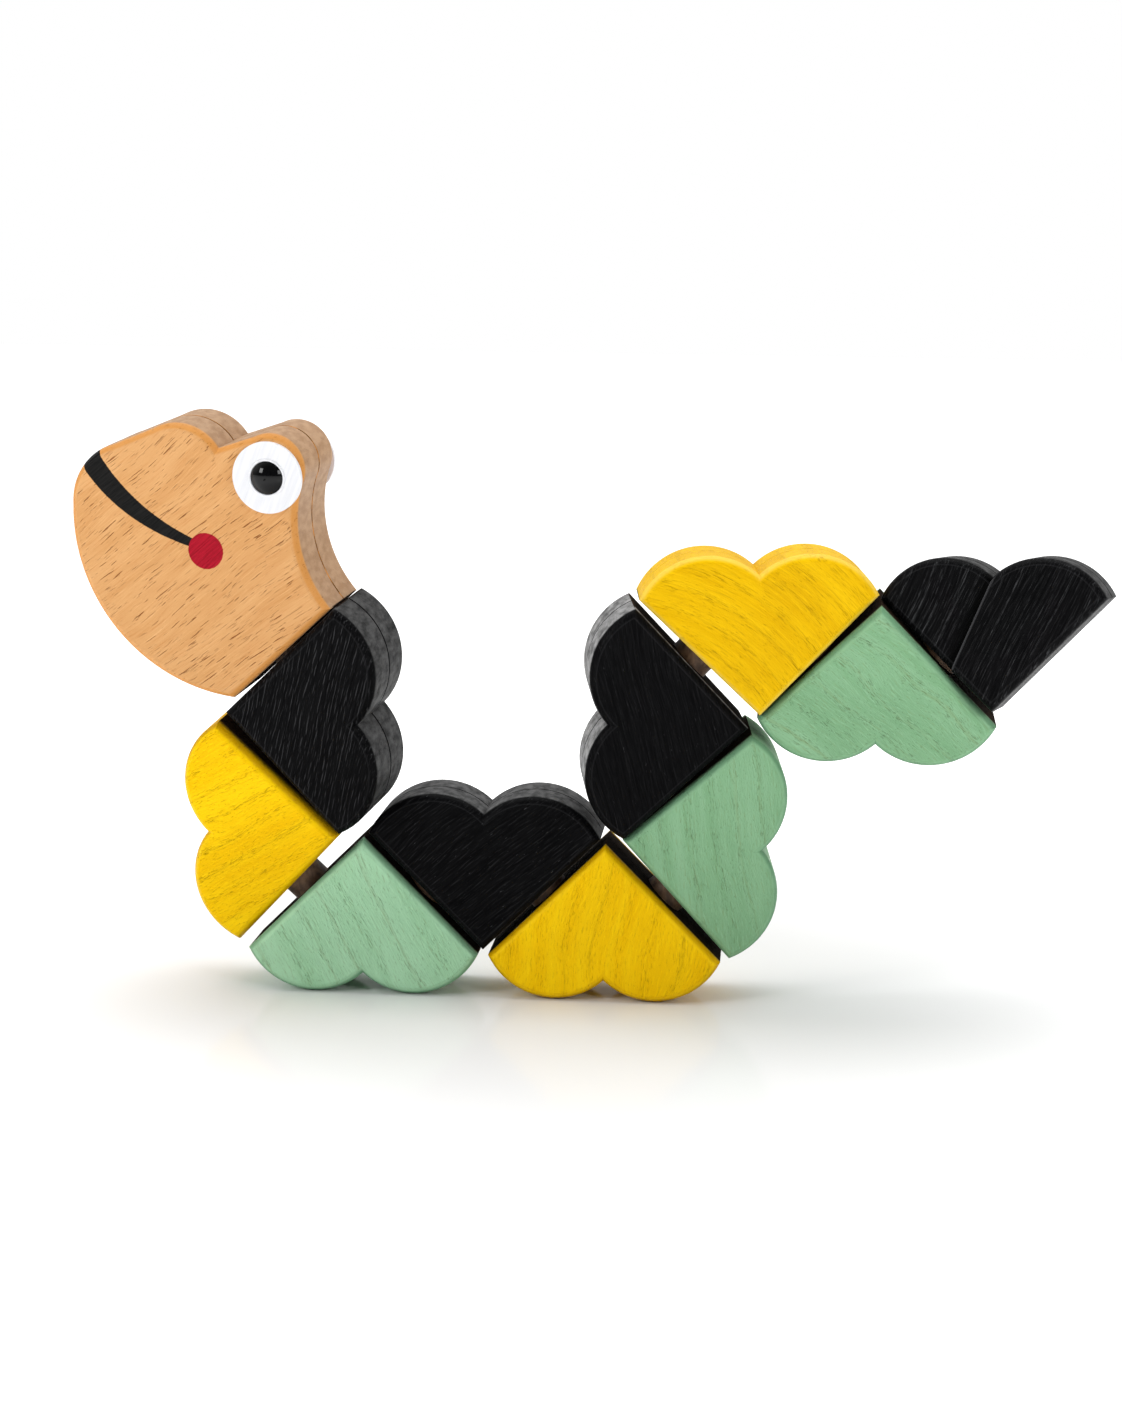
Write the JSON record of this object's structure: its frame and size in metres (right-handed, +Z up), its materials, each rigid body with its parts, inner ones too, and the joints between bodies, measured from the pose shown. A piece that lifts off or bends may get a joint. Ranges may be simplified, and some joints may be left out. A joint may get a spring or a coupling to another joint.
{
  "type": "wooden snake toy",
  "caption": "Wooden twist snake toy: heart-shaped coloured blocks and a beech head, linked corner to corner by turning pins and folded into an arch that stands by itself.",
  "frame": {"origin": "middle of the overall box on the floor under the arch", "axes": "+X from the head to the tail, +Y from the front boards to the back boards, +Z up"},
  "size_m": [0.1984, 0.0359, 0.1131],
  "materials": {
    "head_wood": "clear satin lacquer",
    "pin_wood": "bare",
    "black_wood": "black stain, satin",
    "yellow_wood": "yellow stain, satin",
    "green_wood": "sage green stain, satin",
    "eye_white": "gloss",
    "eye_black": "high gloss"
  },
  "bodies": {
    "head": {"head_front": "head_wood", "head_back": "head_wood", "eye_white_front": "eye_white", "eye_white_back": "eye_white", "eye_pupil_front": "eye_black", "eye_pupil_back": "eye_black", "neck_pin": "pin_wood"},
    "block_1": {"block_1_front": "black_wood", "block_1_back": "black_wood", "pin_1": "pin_wood"},
    "block_2": {"block_2_front": "yellow_wood", "block_2_back": "yellow_wood", "pin_2": "pin_wood"},
    "block_3": {"block_3_front": "green_wood", "block_3_back": "green_wood", "pin_3": "pin_wood"},
    "block_4": {"block_4_front": "black_wood", "block_4_back": "black_wood", "pin_4": "pin_wood"},
    "block_5": {"block_5_front": "yellow_wood", "block_5_back": "yellow_wood", "pin_5": "pin_wood"},
    "block_6": {"block_6_front": "green_wood", "block_6_back": "green_wood", "pin_6": "pin_wood"},
    "block_7": {"block_7_front": "black_wood", "block_7_back": "black_wood", "pin_7": "pin_wood"},
    "block_8": {"block_8_front": "yellow_wood", "block_8_back": "yellow_wood", "pin_8": "pin_wood"},
    "block_9": {"block_9_front": "green_wood", "block_9_back": "green_wood", "tail_pin": "pin_wood"},
    "tail": {"tail_front": "black_wood", "tail_back": "black_wood"}
  },
  "joints": [
    {"name": "neck_turn", "type": "hinge", "parent": "block_1", "child": "head", "pos_m": [-0.05787, -0.0023, 0.0678], "axis": [0.6774, -0.0149, -0.7354], "continuous": true},
    {"name": "turn_1_2", "type": "hinge", "parent": "block_2", "child": "block_1", "pos_m": [-0.05761, 0.00124, 0.04502], "axis": [0.6993, -0.2415, 0.6728], "range_deg": [-120, 135]},
    {"name": "turn_2_3", "type": "hinge", "parent": "block_3", "child": "block_2", "pos_m": [-0.05735, 0.0055, 0.02162], "axis": [-0.7373, 0, 0.6756], "continuous": true},
    {"name": "turn_3_4", "type": "hinge", "parent": "block_4", "child": "block_3", "pos_m": [-0.0326, 0.0055, 0.0195], "axis": [-0.7071, 0, -0.7071], "range_deg": [-75, 135]},
    {"name": "turn_4_5", "type": "hinge", "parent": "block_4", "child": "block_5", "pos_m": [-0.008, 0.0055, 0.0195], "axis": [0.7071, 0, -0.7071], "range_deg": [-135, 120]},
    {"name": "turn_5_6", "type": "hinge", "parent": "block_5", "child": "block_6", "pos_m": [0.0164, 0.0055, 0.02127], "axis": [0.7547, 0, 0.6561], "continuous": true},
    {"name": "turn_6_7", "type": "hinge", "parent": "block_6", "child": "block_7", "pos_m": [0.01759, 0.00287, 0.04429], "axis": [-0.6739, -0.1563, 0.7221], "range_deg": [-120, 75]},
    {"name": "turn_7_8", "type": "hinge", "parent": "block_7", "child": "block_8", "pos_m": [0.02015, 0.00122, 0.06848], "axis": [0.6828, 0.0366, 0.7297], "continuous": true},
    {"name": "turn_8_9", "type": "hinge", "parent": "block_8", "child": "block_9", "pos_m": [0.04333, 0.00332, 0.06862], "axis": [0.7007, 0.0883, -0.7079], "range_deg": [-90, 120]},
    {"name": "tail_turn", "type": "hinge", "parent": "block_9", "child": "tail", "pos_m": [0.06674, 0.00304, 0.06915], "axis": [0.6692, -0.1044, 0.7357], "continuous": true}
  ]
}
